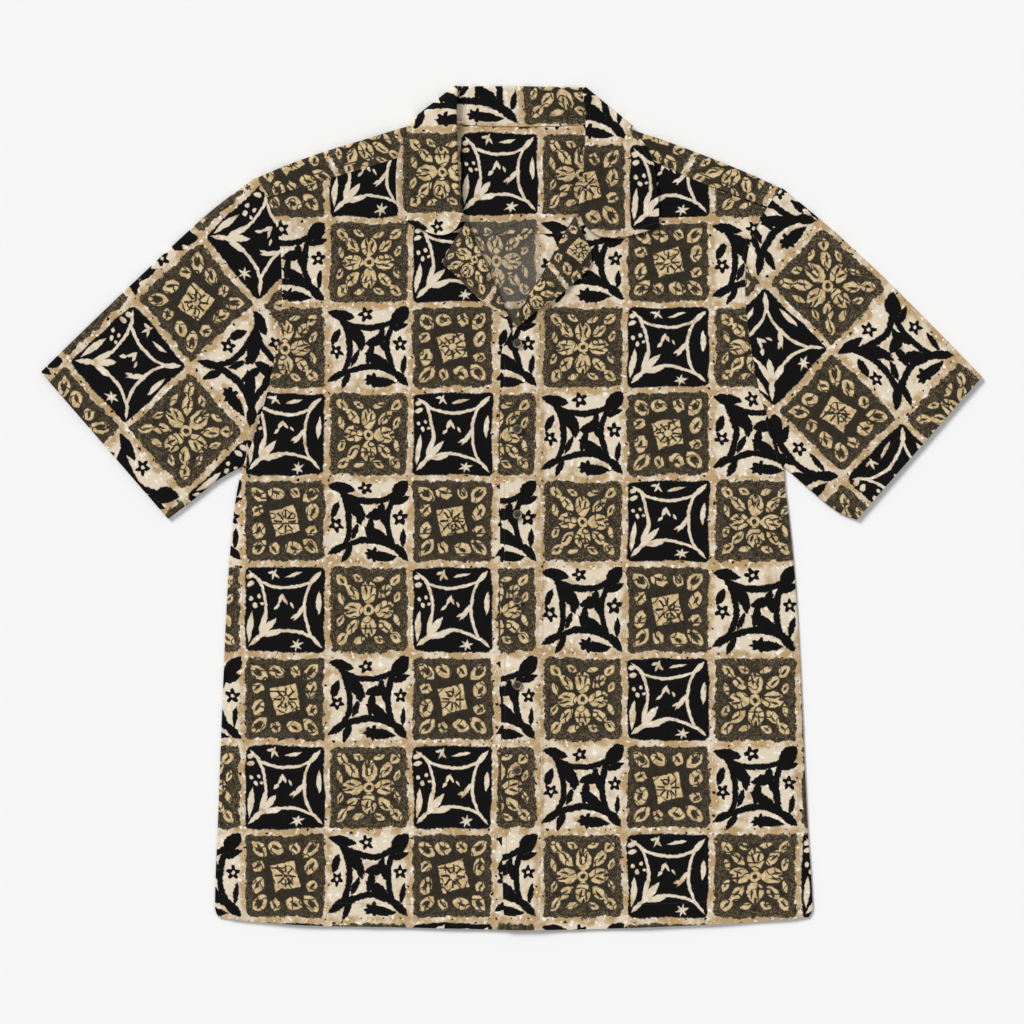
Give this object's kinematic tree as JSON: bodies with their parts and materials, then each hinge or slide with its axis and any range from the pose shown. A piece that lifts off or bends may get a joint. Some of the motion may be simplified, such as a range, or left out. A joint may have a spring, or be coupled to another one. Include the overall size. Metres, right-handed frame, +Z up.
{
  "type": "hawaiian shirt",
  "caption": "Short-sleeved camp-collar shirt of block-printed cotton, laid flat on its back with its front buttoned and its neck open.",
  "frame": {"origin": "middle of the shirt's outline, on the surface it lies on", "axes": "+X toward the wearer's left sleeve, +Y toward the collar, +Z up through the front"},
  "size_m": [0.8938, 0.8012, 0.0131],
  "materials": {
    "printed_cotton": "matte woven cotton with a block print of black, olive and cream squares",
    "buttons": "satin horn-like buttons"
  },
  "bodies": {
    "root": {"back": "printed_cotton", "yoke_outer": "printed_cotton", "yoke_inner": "printed_cotton", "front_right": "printed_cotton", "front_left": "printed_cotton", "facing_right": "printed_cotton", "facing_left": "printed_cotton", "collar": "printed_cotton", "sleeve_right": "printed_cotton", "sleeve_left": "printed_cotton", "button_1": "buttons", "button_2": "buttons", "button_3": "buttons", "button_4": "buttons", "button_5": "buttons", "button_6": "buttons"}
  },
  "joints": []
}
